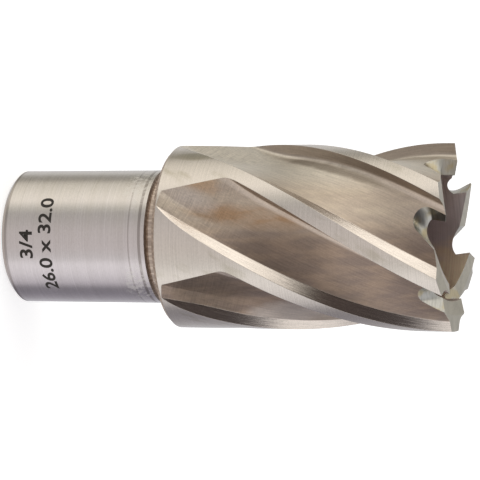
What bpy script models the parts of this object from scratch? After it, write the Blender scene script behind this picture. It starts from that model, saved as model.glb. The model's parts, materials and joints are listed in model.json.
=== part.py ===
"""An annular cutter: a hollow milling cutter for a magnetic drill, ground from one piece of steel.

A round shank with two clamping flats carries a hollow head. Helical flutes run up the head to
teeth on its rim. Each tooth cuts in two steps: its inner edge, on the thin web at the flute's
floor, leads, and its outer edge, on the full wall, follows. The cutter stands on the end of its
shank with the teeth up, and one tooth's tip lies over +X. Lengths are in metres.
"""
import math

import bmesh
import bpy
from mathutils import Vector

MM = 0.001

# Shank
SHANK_DIAMETER = 19.05 * MM
SHANK_LENGTH = 23.85 * MM
SHANK_CHAMFER = 0.6 * MM
PILOT_HOLE_DIAMETER = 6.35 * MM
PILOT_HOLE_CHAMFER = 0.4 * MM
UNDERCUT_WIDTH = 2.2 * MM
UNDERCUT_DEPTH = 0.45 * MM
UNDERCUT_FILLET = 0.4 * MM
FLAT_LENGTH = 11.0 * MM
FLAT_DEPTH = 1.0 * MM
FIRST_FLAT_ANGLE = math.radians(30)
FLAT_SPREAD = math.radians(90)

# Hollow head
HEAD_DIAMETER = 26.0 * MM
HEAD_LENGTH = 40.75 * MM
HEAD_BACK_CHAMFER = 0.5 * MM
HEAD_WALL = 4.2 * MM
BORE_DEPTH = 32.1 * MM
BORE_FILLET = 0.8 * MM

# Flutes, on a right-hand helix. Each has a flat floor, which is nearest to the axis a little
# ahead of the leading edge, and a heel that leans back
TEETH = 6
HELIX_ANGLE = math.radians(30)
LAND_WIDTH = 2.3 * MM
FLUTE_DEPTH = 2.1 * MM
FLOOR_TURN = math.radians(19.5)
FLUTE_ROOT_FILLET = 0.8 * MM
HEEL_WIDTH = 1.2 * MM
OUTER_EDGE_LAG = math.radians(6)
RUNOUT_START = 10.2 * MM
RUNOUT_LEAN = math.radians(14.2)
RUNOUT_END = 1.0 * MM
RUNOUT_END_LEAN = math.radians(9.5)
RUNOUT_WHEEL_RADIUS = 20.0 * MM

# Teeth. A gullet is a pocket with a round root, wider and shallower on the bore's side
RIDGE_SETBACK = 0.15 * MM
TOOTH_RELIEF = math.radians(12.5)
OUTER_BEVEL = math.radians(7)
INNER_BEVEL = math.radians(13.5)
GULLET_DEPTH = 4.63 * MM
GULLET_RADIUS = 1.77 * MM
GULLET_RAMP = math.radians(43)
GULLET_SPAN = math.radians(30)
BORE_GULLET_DEPTH = 3.0 * MM
BORE_GULLET_RADIUS = 2.65 * MM
BORE_GULLET_OFFSET = 1.7 * MM
BORE_GULLET_CORNER = math.radians(49)
BORE_FACE_SLOPE = 0.15

# How far a cutting shape reaches past the surface that it opens, and past a tooth's tip
OVERSHOOT = 2.0 * MM
TIP_CLEARANCE = math.radians(3)

# Number of facets round a turned surface, and of steps along each ground one
TURNED_FACETS = 72
FLUTE_STATIONS = 30
FLOOR_STEPS = 7
FILLET_STEPS = 4
ROOF_STEPS = 5
FACE_STEPS = 4
GULLET_STEPS = 9
WALL_STEPS = 6
CROWN_STEPS = 10

STEEL_COLOR = (0.53, 0.50, 0.46, 1)
STEEL_ROUGHNESS = 0.32
SMOOTH_BELOW = math.radians(25)

# Sizes that follow from those above
SHANK_RADIUS = SHANK_DIAMETER / 2
PILOT_HOLE_RADIUS = PILOT_HOLE_DIAMETER / 2
HEAD_RADIUS = HEAD_DIAMETER / 2
BORE_RADIUS = HEAD_RADIUS - HEAD_WALL
FLOOR_RADIUS = HEAD_RADIUS - FLUTE_DEPTH
FLOOR_DISTANCE = FLOOR_RADIUS * math.cos(FLOOR_TURN - OUTER_EDGE_LAG)
RIDGE_RADIUS = FLOOR_RADIUS - RIDGE_SETBACK
HEAD_BACK = SHANK_LENGTH
TIP_HEIGHT = HEAD_BACK + HEAD_LENGTH
BORE_FLOOR = TIP_HEIGHT - BORE_DEPTH
PITCH = 2 * math.pi / TEETH
TWIST = math.tan(HELIX_ANGLE) / HEAD_RADIUS


def polar(radius, angle, height):
    return Vector((radius * math.cos(angle), radius * math.sin(angle), height))


def arc(center, radius, start, end, steps):
    """Points of a flat arc, both ends included."""
    angles = [start + (end - start) * i / steps for i in range(steps + 1)]
    return [
        (center[0] + radius * math.cos(a), center[1] + radius * math.sin(a)) for a in angles
    ]


def clear_scene():
    for old in list(bpy.data.objects):
        bpy.data.objects.remove(old, do_unlink=True)


def make_collection(name, in_render):
    collection = bpy.data.collections.new(name)
    bpy.context.scene.collection.children.link(collection)
    collection.hide_render = not in_render
    return collection


def make_steel():
    steel = bpy.data.materials.new("ground_tool_steel")
    steel.use_nodes = True
    shader = steel.node_tree.nodes["Principled BSDF"]
    shader.inputs["Base Color"].default_value = STEEL_COLOR
    shader.inputs["Roughness"].default_value = STEEL_ROUGHNESS
    shader.inputs["Metallic"].default_value = 1
    return steel


def mesh_from(name, shape):
    """Turns a bmesh into a mesh whose faces look outwards."""
    bmesh.ops.recalc_face_normals(shape, faces=shape.faces)
    mesh = bpy.data.meshes.new(name)
    shape.to_mesh(mesh)
    shape.free()
    return mesh


def copy_round(shape):
    """Adds the other teeth's copies of a cutting shape, so that all of them cut at once."""
    bmesh.ops.spin(
        shape,
        geom=[*shape.verts, *shape.edges, *shape.faces],
        cent=(0, 0, 0),
        axis=(0, 0, 1),
        angle=(TEETH - 1) * PITCH,
        steps=TEETH - 1,
        use_duplicate=True,
    )


def loft(name, sections, ring=False):
    """A closed skin through sections that have the same number of points.

    A ring joins its last section to its first. Any other skin gets an end at both and is
    copied to every tooth.
    """
    shape = bmesh.new()
    rows = [[shape.verts.new(point) for point in section] for section in sections]
    nexts = rows[1:] + rows[:1] if ring else rows[1:]
    for low, high in zip(rows, nexts):
        for i in range(len(low)):
            j = (i + 1) % len(low)
            shape.faces.new((low[i], low[j], high[j], high[i]))
    if not ring:
        shape.faces.new(rows[0])
        shape.faces.new(rows[-1])
    bmesh.ops.triangulate(shape, faces=shape.faces)
    if not ring:
        copy_round(shape)
    return mesh_from(name, shape)


def turned_profile():
    """Half the blank's section: down the outside from the rim, then up through the bore."""
    undercut_radius = SHANK_RADIUS - UNDERCUT_DEPTH
    undercut_start = HEAD_BACK - UNDERCUT_WIDTH
    rim = TIP_HEIGHT + OVERSHOOT / 2
    undercut_corner = arc(
        (undercut_radius + UNDERCUT_FILLET, HEAD_BACK - UNDERCUT_FILLET),
        UNDERCUT_FILLET,
        math.pi / 2,
        math.pi,
        FILLET_STEPS,
    )
    bore_corner = arc(
        (BORE_RADIUS - BORE_FILLET, BORE_FLOOR + BORE_FILLET),
        BORE_FILLET,
        -math.pi / 2,
        0,
        FILLET_STEPS,
    )
    return [
        (HEAD_RADIUS, rim),
        (HEAD_RADIUS, HEAD_BACK + HEAD_BACK_CHAMFER),
        (HEAD_RADIUS - HEAD_BACK_CHAMFER, HEAD_BACK),
        *undercut_corner,
        (undercut_radius, undercut_start + UNDERCUT_DEPTH),
        (SHANK_RADIUS, undercut_start),
        (SHANK_RADIUS, SHANK_CHAMFER),
        (SHANK_RADIUS - SHANK_CHAMFER, 0),
        (PILOT_HOLE_RADIUS + PILOT_HOLE_CHAMFER, 0),
        (PILOT_HOLE_RADIUS, PILOT_HOLE_CHAMFER),
        (PILOT_HOLE_RADIUS, BORE_FLOOR),
        *bore_corner,
        (BORE_RADIUS, rim),
    ]


def make_blank(collection, steel):
    """The turned blank: a closed outline swept round the axis."""
    shape = bmesh.new()
    corners = [shape.verts.new((radius, 0, height)) for radius, height in turned_profile()]
    for start, end in zip(corners, corners[1:] + corners[:1]):
        shape.edges.new((start, end))
    mesh = bpy.data.meshes.new("annular_cutter")
    shape.to_mesh(mesh)
    shape.free()
    mesh.materials.append(steel)
    blank = bpy.data.objects.new("annular_cutter", mesh)
    collection.objects.link(blank)
    turn = blank.modifiers.new("turn", "SCREW")
    turn.axis = "Z"
    turn.angle = 2 * math.pi
    turn.steps = TURNED_FACETS
    turn.render_steps = TURNED_FACETS
    turn.use_smooth_shade = False
    return blank


def make_cutter(name, mesh, collection, angle=0):
    """A cutting shape, turned about the axis to its place."""
    cutter = bpy.data.objects.new(name, mesh)
    cutter.rotation_euler.z = angle
    cutter.display_type = "WIRE"
    cutter.hide_render = True
    collection.objects.link(cutter)
    return cutter


def floor_radius(turn):
    """How far the flute's flat floor is from the axis, this far ahead of the leading edge."""
    return FLOOR_DISTANCE / math.cos(turn - FLOOR_TURN)


def wheel_lift(turn, height):
    """How far the grinding wheel stands off the flute's full depth.

    The wheel leaves the head along two lines. The first starts at the leading edge and leans
    against the helix, and the second ends it near the head's back.
    """
    turn_per_height = (math.tan(RUNOUT_LEAN) + math.tan(HELIX_ANGLE)) / HEAD_RADIUS
    corner_turn = (RUNOUT_START - RUNOUT_END) * turn_per_height
    first_line = RUNOUT_START - turn / turn_per_height
    drop = (turn - corner_turn) * HEAD_RADIUS * math.tan(RUNOUT_END_LEAN)
    exit_height = HEAD_BACK + max(first_line, RUNOUT_END - drop)
    depth = max(0, HEAD_RADIUS - floor_radius(turn))
    print_length = math.sqrt(2 * RUNOUT_WHEEL_RADIUS * depth)
    below_full = max(0, exit_height + print_length - height)
    return below_full ** 2 / (2 * RUNOUT_WHEEL_RADIUS)


def flute_outline():
    """The flute's section as (angle ahead of its leading edge, radius), before any lift.

    The leading wall stands along the radius over +X. A fillet joins it to the floor.
    """
    middle_x = FLOOR_DISTANCE + FLUTE_ROOT_FILLET * (1 - math.sin(FLOOR_TURN))
    fillet = arc(
        (middle_x / math.cos(FLOOR_TURN), FLUTE_ROOT_FILLET),
        FLUTE_ROOT_FILLET,
        1.5 * math.pi,
        math.pi + FLOOR_TURN,
        FILLET_STEPS,
    )
    heel_turn = PITCH - LAND_WIDTH / HEAD_RADIUS
    foot_turn = heel_turn - HEEL_WIDTH / HEAD_RADIUS
    heel_top = polar(HEAD_RADIUS, heel_turn, 0).xy
    heel_foot = polar(floor_radius(foot_turn), foot_turn, 0).xy
    heel_depth = HEAD_RADIUS - floor_radius(foot_turn)
    floor_start = Vector(fillet[-1])
    floor = [floor_start.lerp(heel_foot, i / FLOOR_STEPS) for i in range(1, FLOOR_STEPS + 1)]
    heel_end = heel_foot.lerp(heel_top, 1 + OVERSHOOT / heel_depth)
    roof = arc((0, 0), heel_end.length, math.atan2(heel_end.y, heel_end.x), 0, ROOF_STEPS)
    return [(math.atan2(y, x), math.hypot(x, y)) for x, y in [*fillet, *floor, *roof]]


def flute_mesh():
    """The flutes as solids: an outline carried up the helix and lifted off at its start."""
    outline = flute_outline()
    bottom = HEAD_BACK - OVERSHOOT / 2
    top = TIP_HEIGHT + OVERSHOOT
    sections = []
    for i in range(FLUTE_STATIONS + 1):
        height = bottom + (top - bottom) * i / FLUTE_STATIONS
        edge = (height - TIP_HEIGHT) * TWIST - OUTER_EDGE_LAG
        sections.append(
            [
                polar(radius + wheel_lift(turn, height), edge + turn, height)
                for turn, radius in outline
            ]
        )
    return loft("flute", sections)


def crown_section(angle, height):
    """The space over the teeth at one angle, where the ridge line is at this height."""
    inner = BORE_RADIUS - OVERSHOOT
    outer = HEAD_RADIUS + OVERSHOOT
    top = TIP_HEIGHT + OVERSHOOT
    return [
        polar(inner, angle, height - (RIDGE_RADIUS - inner) * math.tan(INNER_BEVEL)),
        polar(RIDGE_RADIUS, angle, height),
        polar(outer, angle, height - (outer - RIDGE_RADIUS) * math.tan(OUTER_BEVEL)),
        polar(outer, angle, top),
        polar(inner, angle, top),
    ]


def crown_mesh():
    """The ring over all the teeth: each tooth falls away behind its tip.

    The step up to the next tooth lies a little ahead of the tip, where the gullet is open.
    """
    fall_per_turn = math.tan(TOOTH_RELIEF) * RIDGE_RADIUS
    sections = []
    for tooth in range(TEETH):
        for i in range(CROWN_STEPS + 1):
            ahead = TIP_CLEARANCE - (PITCH - TIP_CLEARANCE) * (1 - i / CROWN_STEPS)
            angle = tooth * PITCH + ahead
            sections.append(crown_section(angle, TIP_HEIGHT + fall_per_turn * ahead))
    return loft("crown", sections, ring=True)


def gullet_section(x, middle_y, depth, radius, corner, face_slope):
    """The gullet's outline in one plane: cutting face, round root from its corner, ramp."""
    middle = (middle_y, TIP_HEIGHT - depth + radius)
    root = arc(middle, radius, corner, 1.5 * math.pi + GULLET_RAMP, GULLET_STEPS)
    top = TIP_HEIGHT + 0.75 * OVERSHOOT
    corner_y, corner_z = root[0]
    rises = [(top - corner_z) * (1 - i / FACE_STEPS) for i in range(FACE_STEPS)]
    face = [(corner_y + rise * face_slope, corner_z + rise) for rise in rises]
    ramp_end = (root[-1][0] + (top - root[-1][1]) / math.tan(GULLET_RAMP), top)
    return [Vector((x, y, z)) for y, z in [*face, *root, ramp_end]]


def gullet_mesh():
    """The pockets ahead of the tips, of which the first tip lies over +X.

    It is a straight loft through a section under the ridge, whose face runs along the helix
    up to the tip, and one in the bore, and it reaches past both.
    """
    face_slope = TWIST * RIDGE_RADIUS
    root_offset = GULLET_RADIUS * math.hypot(1, face_slope)
    outer = gullet_section(
        RIDGE_RADIUS,
        root_offset - (GULLET_DEPTH - GULLET_RADIUS) * face_slope,
        GULLET_DEPTH,
        GULLET_RADIUS,
        math.pi - math.atan(face_slope),
        face_slope,
    )
    inner = gullet_section(
        BORE_RADIUS,
        BORE_GULLET_OFFSET,
        BORE_GULLET_DEPTH,
        BORE_GULLET_RADIUS,
        math.pi + BORE_GULLET_CORNER,
        BORE_FACE_SLOPE,
    )
    wall = RIDGE_RADIUS - BORE_RADIUS
    outside = -OVERSHOOT / 2 / wall
    inside = (RIDGE_RADIUS - BORE_RADIUS * math.cos(GULLET_SPAN)) / wall
    shares = [outside, *(i / WALL_STEPS for i in range(WALL_STEPS + 1)), inside]
    sections = [
        [first.lerp(second, share) for first, second in zip(outer, inner)] for share in shares
    ]
    return loft("gullet", sections)


def flat_mesh():
    """A block that planes one clamping flat on the shank's +X side."""
    shape = bmesh.new()
    bmesh.ops.create_cube(shape, size=1)
    bmesh.ops.scale(shape, verts=shape.verts, vec=(OVERSHOOT, SHANK_DIAMETER, FLAT_LENGTH))
    middle = (HEAD_BACK - UNDERCUT_WIDTH) / 2
    place = Vector((SHANK_RADIUS - FLAT_DEPTH + OVERSHOOT / 2, 0, middle))
    bmesh.ops.translate(shape, verts=shape.verts, vec=place)
    return mesh_from("clamping_flat", shape)


def cut(blank, cutter):
    boolean = blank.modifiers.new(cutter.name, "BOOLEAN")
    boolean.operation = "DIFFERENCE"
    boolean.solver = "EXACT"
    boolean.object = cutter


def shade(blank):
    """Makes the cuts final and shades what was turned and ground smooth between sharp edges."""
    bpy.context.view_layer.update()
    seen = blank.evaluated_get(bpy.context.evaluated_depsgraph_get())
    mesh = bpy.data.meshes.new_from_object(seen)
    mesh.shade_smooth()
    mesh.set_sharp_from_angle(angle=SMOOTH_BELOW)
    outline = blank.data
    blank.modifiers.clear()
    blank.data = mesh
    bpy.data.meshes.remove(outline)
    mesh.name = blank.name


def main():
    clear_scene()
    parts = make_collection("annular_cutter", in_render=True)
    cutters = make_collection("cutters", in_render=False)
    blank = make_blank(parts, make_steel())
    flat = flat_mesh()
    for i in range(2):
        angle = FIRST_FLAT_ANGLE + i * FLAT_SPREAD
        cut(blank, make_cutter(f"clamping_flat_{i + 1}", flat, cutters, angle))
    cut(blank, make_cutter("gullets", gullet_mesh(), cutters))
    cut(blank, make_cutter("flutes", flute_mesh(), cutters))
    cut(blank, make_cutter("crown", crown_mesh(), cutters))
    shade(blank)


main()
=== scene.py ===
# %% [markdown]
# # An annular cutter, finished for a picture
#
# An annular cutter is a hollow milling cutter. It cuts a ring and leaves a slug of metal in its
# bore. The real one is ground from one bar of tool steel: turned first, then its flutes, gullets
# and teeth are ground into it. This lesson follows the same order. A blank is turned with a Screw
# modifier, Geometry Nodes grind the six flutes and teeth, and each ground surface gets its own
# finish.

# %% [markdown]
# ## The frame
#
# The solid that this scene dresses is packed already. It loads as a fixed frame, with the cutter
# upright on its shank end and its axis along Z, so nothing has to be fitted by eye. Its box is
# measured, and some of the sizes below are read from it.

# %% The imported model is the fixed frame
import json
import math

import bmesh
import bpy
from mathutils import Matrix, Vector


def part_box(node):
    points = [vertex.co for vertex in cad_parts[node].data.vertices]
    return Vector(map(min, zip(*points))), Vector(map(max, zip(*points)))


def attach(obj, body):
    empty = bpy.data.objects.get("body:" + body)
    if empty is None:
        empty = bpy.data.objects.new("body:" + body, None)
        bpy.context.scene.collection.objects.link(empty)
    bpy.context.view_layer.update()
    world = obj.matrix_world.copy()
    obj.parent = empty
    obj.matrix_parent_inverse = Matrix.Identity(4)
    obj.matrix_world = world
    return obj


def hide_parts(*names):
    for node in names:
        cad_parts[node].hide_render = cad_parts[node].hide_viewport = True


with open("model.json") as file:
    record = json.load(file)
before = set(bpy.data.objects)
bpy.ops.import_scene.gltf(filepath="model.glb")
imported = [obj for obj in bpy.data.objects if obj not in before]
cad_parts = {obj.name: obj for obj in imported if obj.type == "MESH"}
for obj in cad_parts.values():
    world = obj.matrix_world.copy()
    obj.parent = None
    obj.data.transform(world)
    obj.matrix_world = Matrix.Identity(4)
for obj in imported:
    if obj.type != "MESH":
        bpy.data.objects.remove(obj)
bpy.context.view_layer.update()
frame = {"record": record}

# %% [markdown]
# ## Sizes
#
# What the frame can tell is read from it: the head's radius and the tips' height come from the
# part's box, the shoulder and the clamping flats from its mounts. The other sizes are the real
# ones, written once. Blender counts in metres, so a size in millimetres is written times MM.

# %% Sizes
MM = 0.001
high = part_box("annular_cutter")[1]
mounts = {mount["name"]: mount for mount in frame["record"]["mounts"]}

HEAD_RADIUS = high.x
TIP_HEIGHT = high.z
HEAD_BACK = mounts["head_back_face"]["pos_m"][2]
FLAT_CENTERS = [
    Vector(mounts[name]["pos_m"]) for name in ("clamping_flat_first", "clamping_flat_second")
]

SHANK_RADIUS = 19.05 / 2 * MM
SHANK_CHAMFER = 0.6 * MM
PILOT_HOLE_RADIUS = 6.35 / 2 * MM
PILOT_HOLE_CHAMFER = 0.4 * MM
UNDERCUT_WIDTH = 2.2 * MM
UNDERCUT_DEPTH = 0.45 * MM
UNDERCUT_FILLET = 0.4 * MM
FLAT_LENGTH = 11 * MM
HEAD_BACK_CHAMFER = 0.5 * MM
BORE_RADIUS = HEAD_RADIUS - 4.2 * MM
BORE_FLOOR = TIP_HEIGHT - 32.1 * MM
BORE_FILLET = 0.8 * MM
print("Head:", round(2 * HEAD_RADIUS / MM, 2), "mm across, from", round(HEAD_BACK / MM, 2), "mm up")

# %% [markdown]
# ## Sizes of the flutes and teeth
#
# A flute is a groove that winds up the head, and a land is the strip of the head that is left
# between two of them. Each land ends in a tooth, with a gullet ahead of it that clears the
# chips. A grinder would ask for the same values: how steep the helix is, how deep the groove,
# where the wheel lifts out of it, and how far each bevel leans.

# %% Sizes of the flutes
TEETH = 6
PITCH = 2 * math.pi / TEETH
HELIX_ANGLE = math.radians(30)
TWIST = math.tan(HELIX_ANGLE) / HEAD_RADIUS
LAND_WIDTH = 2.3 * MM
FLUTE_DEPTH = 2.1 * MM
FLOOR_RADIUS = HEAD_RADIUS - FLUTE_DEPTH
FLUTE_ROOT_FILLET = 0.8 * MM
HEEL_DEPTH = 1.3 * MM
HEEL_WIDTH = 1.2 * MM
OUTER_EDGE_LAG = math.radians(6)
RUNOUT_START = 10.2 * MM
RUNOUT_LEAN = math.radians(14.2)
RUNOUT_END = 1 * MM
RUNOUT_END_LEAN = math.radians(9.5)
WHEEL_RADIUS = 20 * MM
print("Flutes:", TEETH, "with a lead of", round(2 * math.pi / TWIST / MM, 1), "mm for each turn")

# %% Sizes of the teeth
RIDGE_RADIUS = FLOOR_RADIUS - 0.15 * MM
TOOTH_RELIEF = math.radians(12.5)
OUTER_BEVEL = math.radians(7)
INNER_BEVEL = math.radians(13.5)
GULLET_DEPTH = 4.63 * MM
GULLET_RADIUS = 1.77 * MM
GULLET_RAMP = math.radians(43)
GULLET_SPAN = math.radians(30)
INNER_GULLET_DEPTH = 3 * MM
INNER_GULLET_RADIUS = 2.65 * MM
INNER_GULLET_CENTER = 1.7 * MM
INNER_GULLET_CORNER = math.radians(49)
INNER_FACE_SLOPE = 0.15
print("Ridge of the teeth:", round(RIDGE_RADIUS / MM, 2), "mm from the axis")

# %% [markdown]
# ## A short way to write nodes
#
# Shader trees and geometry trees are both built from nodes and sockets, and a tree of forty
# nodes is hard to read as forty calls. Two small classes make it short. Tree has one method,
# node, that adds a node, and a few helpers that use it. Wire is one output socket, and a sum
# that is written with wires in Python adds the Math nodes.


# %% A tree that is written with one method
def named(sockets, key):
    """The socket with this identifier, name or place."""
    by_identifier = {socket.identifier: socket for socket in sockets}
    return by_identifier[key] if key in by_identifier else sockets[key]


class Tree:
    """A node tree that is written with one method."""

    def __init__(self, node_tree):
        self.nodes = node_tree.nodes
        self.links = node_tree.links

    def node(self, kind, settings=None, values=None, output=0):
        """Adds a node. values holds what its sockets get, by name or place: numbers or wires."""
        node = self.nodes.new(kind)
        for name, setting in (settings or {}).items():
            setattr(node, name, setting)
        for key, value in (values or {}).items():
            socket = named(node.inputs, key)
            if isinstance(value, Wire):
                self.links.new(value.socket, socket)
            else:
                socket.default_value = value
        return Wire(self, named(node.outputs, output)) if node.outputs else None

    def mix(self, factor, first, second):
        """A colour between two colours."""
        values = {0: factor, 6: first, 7: second}
        return self.node("ShaderNodeMix", {"data_type": "RGBA"}, values, output=2)

    def vector(self, x=0, y=0, z=0):
        """A vector from numbers or wires."""
        return self.node("ShaderNodeCombineXYZ", None, {0: x, 1: y, 2: z})

    def scaled(self, vector, by):
        """A vector or colour, times a number or wire."""
        values = {0: vector, "Scale": by}
        return self.node("ShaderNodeVectorMath", {"operation": "SCALE"}, values)

    def noise(self, vector, size, detail=3):
        """Noise about 0.5, with blotches of this size along X, Y and Z."""
        per_unit = tuple(1 / length for length in size)
        settings = {"operation": "MULTIPLY"}
        stretched = self.node("ShaderNodeVectorMath", settings, {0: vector, 1: per_unit})
        values = {"Vector": stretched, "Scale": 1, "Detail": detail}
        return self.node("ShaderNodeTexNoise", None, values)

    def ramp(self, factor, stops):
        """A colour ramp. stops holds (place, colour) pairs."""
        wire = self.node("ShaderNodeValToRGB", None, {0: factor})
        elements = wire.socket.node.color_ramp.elements
        while len(elements) < len(stops):
            elements.new(1)
        for element, (place, color) in zip(elements, stops):
            element.position = place
            element.color = (*color, 1)
        return wire


# %% Sums that add Math nodes
class Wire:
    """One output socket. Sums written with it add Math nodes to its tree."""

    def __init__(self, tree, socket):
        self.tree = tree
        self.socket = socket

    def out(self, name):
        """Another output of the same node."""
        return Wire(self.tree, named(self.socket.node.outputs, name))

    def math(self, operation, *others):
        """One Math node on this value and the others, in that order."""
        values = dict(enumerate((self, *others)))
        return self.tree.node("ShaderNodeMath", {"operation": operation}, values)

    def turned_round(self, operation, other):
        """One Math node whose first value is the other one."""
        values = {0: other, 1: self}
        return self.tree.node("ShaderNodeMath", {"operation": operation}, values)

    def __add__(self, other):
        return self.math("ADD", other)

    def __sub__(self, other):
        return self.math("SUBTRACT", other)

    def __mul__(self, other):
        return self.math("MULTIPLY", other)

    def __truediv__(self, other):
        return self.math("DIVIDE", other)

    def __pow__(self, other):
        return self.math("POWER", other)

    def __neg__(self):
        return self.math("MULTIPLY", -1)

    def __radd__(self, other):
        return self.turned_round("ADD", other)

    def __rsub__(self, other):
        return self.turned_round("SUBTRACT", other)

    def __rmul__(self, other):
        return self.turned_round("MULTIPLY", other)

    def __rtruediv__(self, other):
        return self.turned_round("DIVIDE", other)

    def between(self, start, end):
        """0 below start, 1 above end and a smooth step between them."""
        values = {"Value": self, "From Min": start, "From Max": end}
        settings = {"interpolation_type": "SMOOTHSTEP", "clamp": True}
        return self.tree.node("ShaderNodeMapRange", settings, values)


# %% [markdown]
# ## The turned blank
#
# On a lathe the shank, the undercut behind the shoulder, the head and the bore all come from one
# outline turned about the axis. Cylinders joined by Booleans would give the same form with many
# more steps, so the Screw modifier turns one outline here too. The outline runs down the outer
# side, so that the faces point outwards. The rim stands a little over the tips, as grinding
# stock for the teeth.

# %% Outlines and what is made from them
OVERSHOOT = 2 * MM
TURNED_FACETS = 360
FILLET_STEPS = 10
QUARTER = math.pi / 2


def arc(center, radius, start, end, steps):
    """Points of a flat arc, both ends included."""
    angles = [start + (end - start) * i / steps for i in range(steps + 1)]
    return [(center[0] + radius * math.cos(a), center[1] + radius * math.sin(a)) for a in angles]


def object_from(shape, name):
    """A new object in the scene that holds this shape."""
    mesh = bpy.data.meshes.new(name)
    shape.to_mesh(mesh)
    shape.free()
    made = bpy.data.objects.new(name, mesh)
    bpy.context.scene.collection.objects.link(made)
    return made


def outline_object(name, points):
    """An object that holds a closed outline, as edges alone."""
    shape = bmesh.new()
    corners = [shape.verts.new(point) for point in points]
    for start, end in zip(corners, corners[1:] + corners[:1]):
        shape.edges.new((start, end))
    return object_from(shape, name)


def turned(name, outline):
    """A solid turned about the Z axis from (radius, height) points."""
    made = outline_object(name, [(radius, 0, height) for radius, height in outline])
    turn = made.modifiers.new("turn", "SCREW")
    turn.axis = "Z"
    turn.angle = 2 * math.pi
    turn.steps = TURNED_FACETS
    turn.render_steps = TURNED_FACETS
    turn.use_smooth_shade = False
    return made


# %% The blank
rim = TIP_HEIGHT + OVERSHOOT / 2
undercut_radius = SHANK_RADIUS - UNDERCUT_DEPTH
undercut_start = HEAD_BACK - UNDERCUT_WIDTH
undercut_center = (undercut_radius + UNDERCUT_FILLET, HEAD_BACK - UNDERCUT_FILLET)
bore_center = (BORE_RADIUS - BORE_FILLET, BORE_FLOOR + BORE_FILLET)
blank_outline = [
    (HEAD_RADIUS, rim),
    (HEAD_RADIUS, HEAD_BACK + HEAD_BACK_CHAMFER),
    (HEAD_RADIUS - HEAD_BACK_CHAMFER, HEAD_BACK),
    *arc(undercut_center, UNDERCUT_FILLET, QUARTER, 2 * QUARTER, FILLET_STEPS),
    (undercut_radius, undercut_start + UNDERCUT_DEPTH),
    (SHANK_RADIUS, undercut_start),
    (SHANK_RADIUS, SHANK_CHAMFER),
    (SHANK_RADIUS - SHANK_CHAMFER, 0),
    (PILOT_HOLE_RADIUS + PILOT_HOLE_CHAMFER, 0),
    (PILOT_HOLE_RADIUS, PILOT_HOLE_CHAMFER),
    (PILOT_HOLE_RADIUS, BORE_FLOOR),
    *arc(bore_center, BORE_FILLET, -QUARTER, 0, FILLET_STEPS),
    (BORE_RADIUS, rim),
]
blank = turned("turned_blank", blank_outline)
print("Blank outline:", len(blank_outline), "points, turned in", TURNED_FACETS, "steps")

# %% [markdown]
# ## The flute's section
#
# Cut straight across, a flute shows a wall that leads, a small fillet at its root, a flat floor
# and a leaning heel up to the next land. The wall is a line from the axis, so the section can be
# written with the wall over +X and everything else at an angle from it. A roof past the head's
# radius closes the outline, where it only cuts air.

# %% The flute's section
FLOOR_STEPS = 28
ROOF_STEPS = 10


def polar(radius, angle):
    """The point at this radius and angle."""
    return Vector((radius * math.cos(angle), radius * math.sin(angle)))


heel_turn = PITCH - LAND_WIDTH / HEAD_RADIUS
heel_start = heel_turn - HEEL_WIDTH / HEAD_RADIUS
heel_top = polar(HEAD_RADIUS, heel_turn)
heel_foot = polar(HEAD_RADIUS - HEEL_DEPTH, heel_start)
below_tip = polar(FLOOR_RADIUS, OUTER_EDGE_LAG)
floor_run = heel_foot - below_tip
floor_normal = Vector((floor_run.y, -floor_run.x)).normalized()
floor_distance = floor_normal.dot(below_tip)
floor_turn = math.atan2(floor_normal.y, floor_normal.x)


def flute_outline():
    """The section, with its leading edge over +X: fillet, flat floor, heel and a roof."""
    fillet_x = floor_distance + FLUTE_ROOT_FILLET * (1 - math.sin(floor_turn))
    middle = (fillet_x / math.cos(floor_turn), FLUTE_ROOT_FILLET)
    fillet = arc(middle, FLUTE_ROOT_FILLET, 3 * QUARTER, math.pi + floor_turn, FILLET_STEPS)
    floor_start = Vector(fillet[-1])
    floor = [floor_start.lerp(heel_foot, i / FLOOR_STEPS) for i in range(1, FLOOR_STEPS + 1)]
    heel_end = heel_foot.lerp(heel_top, 1 + OVERSHOOT / HEEL_DEPTH)
    roof = arc((0, 0), heel_end.length, math.atan2(heel_end.y, heel_end.x), 0, ROOF_STEPS)
    return fillet + floor + roof


flute_section = outline_object("flute_section", [(x, y, 0) for x, y in reversed(flute_outline())])
print("Flute section:", len(flute_section.data.vertices), "points")

# %% [markdown]
# ## The gullet
#
# A gullet is a pocket ahead of its tooth. Under the tooth's ridge it is steep and narrow with a
# round root, and in the bore it is wider and shallower. No primitive has that form, so it is a
# loft between the two sections, and runs on past both so that the cut comes out clean.

# %% The gullet's sections
GULLET_STEPS = 40
FACE_STEPS = 16
WALL_STEPS = 20


def gullet_section(x, center, depth, radius, corner, face_slope):
    """The pocket's outline in one plane: cutting face, round root from its corner, and ramp."""
    middle = (center, TIP_HEIGHT - depth + radius)
    root = arc(middle, radius, corner, 3 * QUARTER + GULLET_RAMP, GULLET_STEPS)
    top = rim + OVERSHOOT / 4
    corner_y, corner_z = root[0]
    rises = [(top - corner_z) * (1 - i / FACE_STEPS) for i in range(FACE_STEPS)]
    face = [(corner_y + rise * face_slope, corner_z + rise) for rise in rises]
    ramp_end = (root[-1][0] + (top - root[-1][1]) / math.tan(GULLET_RAMP), top)
    return [Vector((x, y, z)) for y, z in [*face, *root, ramp_end]]


def outer_section():
    """The gullet's section under the ridge. Its cutting face leans with the helix."""
    slope = TWIST * RIDGE_RADIUS
    center = GULLET_RADIUS * math.hypot(1, slope) - (GULLET_DEPTH - GULLET_RADIUS) * slope
    corner = math.pi - math.atan(slope)
    return gullet_section(RIDGE_RADIUS, center, GULLET_DEPTH, GULLET_RADIUS, corner, slope)


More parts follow.
